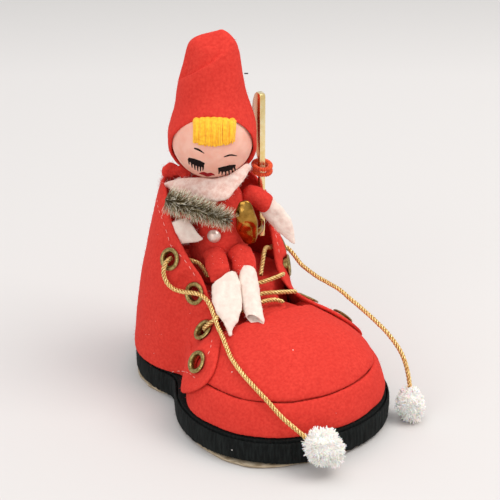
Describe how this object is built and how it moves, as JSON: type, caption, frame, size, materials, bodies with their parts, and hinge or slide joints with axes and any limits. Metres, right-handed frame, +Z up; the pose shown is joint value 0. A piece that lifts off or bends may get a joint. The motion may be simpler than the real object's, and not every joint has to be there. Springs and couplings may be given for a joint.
{
  "type": "elf figurine",
  "caption": "Felt elf sitting in a lace-up felt boot on a board sole, holding a bottle-brush tree beside a gilt toy harp.",
  "frame": {"origin": "middle of the sole board's underside, where the figurine stands", "axes": "+Z up, -Y towards the boot's toe, +X the elf's left"},
  "size_m": [0.0905, 0.1377, 0.1514],
  "materials": {
    "red_felt": "matt wool felt",
    "black_felt": "matt felt strip",
    "white_felt": "thin brushed felt",
    "cardboard": "raw grey-brown board",
    "wadding": "loose wadding",
    "brass": "dull brass",
    "gold_cord": "twisted metallic cord",
    "white_pile": "long soft pile",
    "head_paint": "satin paint",
    "yellow_yarn": "soft yarn",
    "pearl": "pearl lustre",
    "iron_wire": "dark drawn wire",
    "bristles": "fine twisted bristles",
    "gilt": "mirror-bright gilt coating",
    "orange_cord": "soft chenille cord"
  },
  "bodies": {
    "root": {"toe_side": "red_felt", "toe_top": "red_felt", "quarter_left": "red_felt", "quarter_right": "red_felt", "tongue": "red_felt", "torso": "red_felt", "hat": "red_felt", "leg_left": "red_felt", "leg_right": "red_felt", "sleeve_left": "red_felt", "sleeve_right": "red_felt", "sole_band": "black_felt", "collar": "white_felt", "foot_left": "white_felt", "foot_right": "white_felt", "hand_left": "white_felt", "hand_right": "white_felt", "sole_board": "cardboard", "sole_core": "cardboard", "toe_stuffing": "wadding", "shaft_stuffing": "wadding", "eyelet_left_1": "brass", "eyelet_left_2": "brass", "eyelet_left_3": "brass", "eyelet_left_4": "brass", "eyelet_right_1": "brass", "eyelet_right_2": "brass", "eyelet_right_3": "brass", "eyelet_right_4": "brass", "lace_cross_1": "gold_cord", "lace_cross_2": "gold_cord", "lace_cross_3": "gold_cord", "lace_cross_4": "gold_cord", "lace_cross_5": "gold_cord", "lace_end_left": "gold_cord", "lace_end_right": "gold_cord", "pompom_left": "white_pile", "pompom_right": "white_pile", "head": "head_paint", "fringe": "yellow_yarn", "pearl_button": "pearl", "hat_wire": "iron_wire", "bottle_brush_tree": "bristles", "toy_harp": "gilt", "harp_tie": "orange_cord"}
  },
  "joints": []
}
